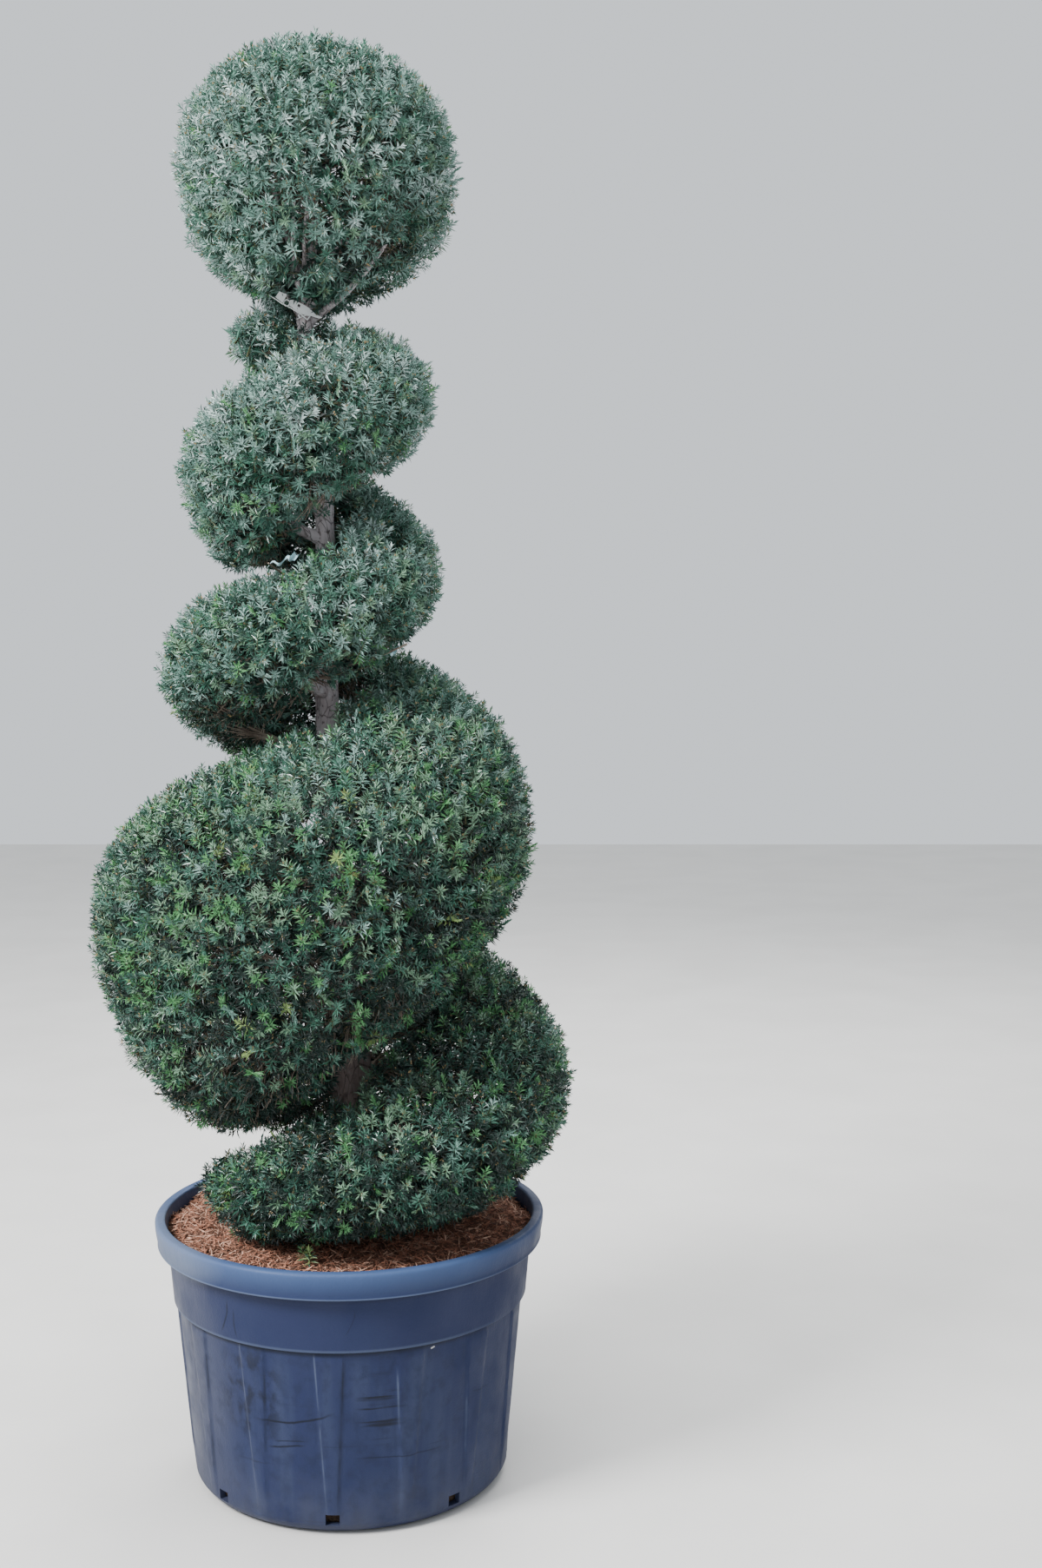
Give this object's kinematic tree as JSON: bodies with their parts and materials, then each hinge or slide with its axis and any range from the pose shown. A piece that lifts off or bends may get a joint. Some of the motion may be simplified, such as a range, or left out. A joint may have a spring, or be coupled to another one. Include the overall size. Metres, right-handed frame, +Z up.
{
  "type": "spiral topiary",
  "caption": "Clipped evergreen spiral topiary with a ball on top, its foliage winding up a bare leaning trunk, in a round ribbed nursery pot filled with soil and bark mulch",
  "frame": {"origin": "middle of the pot's flat underside, on the surface that it stands on", "axes": "+Z up; +Y away from the picture's camera; +X to the camera's right"},
  "size_m": [0.8721, 0.8636, 2.6163],
  "materials": {
    "pot": "matte moulded slate-blue plastic with scuffs",
    "soil": "damp potting soil",
    "mulch": "loose red-brown bark fibre",
    "bark": "flaking grey to red-brown bark",
    "foliage": "dark green flat needles, slightly glossy",
    "label": "blank white film"
  },
  "bodies": {
    "root": {"pot": "pot", "soil": "soil", "mulch": "mulch", "trunk": "bark", "bough_01": "bark", "bough_02": "bark", "bough_03": "bark", "bough_04": "bark", "bough_05": "bark", "bough_06": "bark", "bough_07": "bark", "bough_08": "bark", "bough_09": "bark", "bough_10": "bark", "bough_11": "bark", "bough_12": "bark", "bough_13": "bark", "bough_14": "bark", "ball_bough_1": "bark", "ball_bough_2": "bark", "ball_bough_3": "bark", "ball_bough_4": "bark", "foliage_01": "foliage", "foliage_02": "foliage", "foliage_03": "foliage", "foliage_04": "foliage", "foliage_05": "foliage", "foliage_06": "foliage", "foliage_07": "foliage", "foliage_08": "foliage", "foliage_09": "foliage", "foliage_10": "foliage", "foliage_11": "foliage", "foliage_12": "foliage", "foliage_13": "foliage", "foliage_14": "foliage", "ball_foliage": "foliage", "label": "label"}
  },
  "joints": []
}
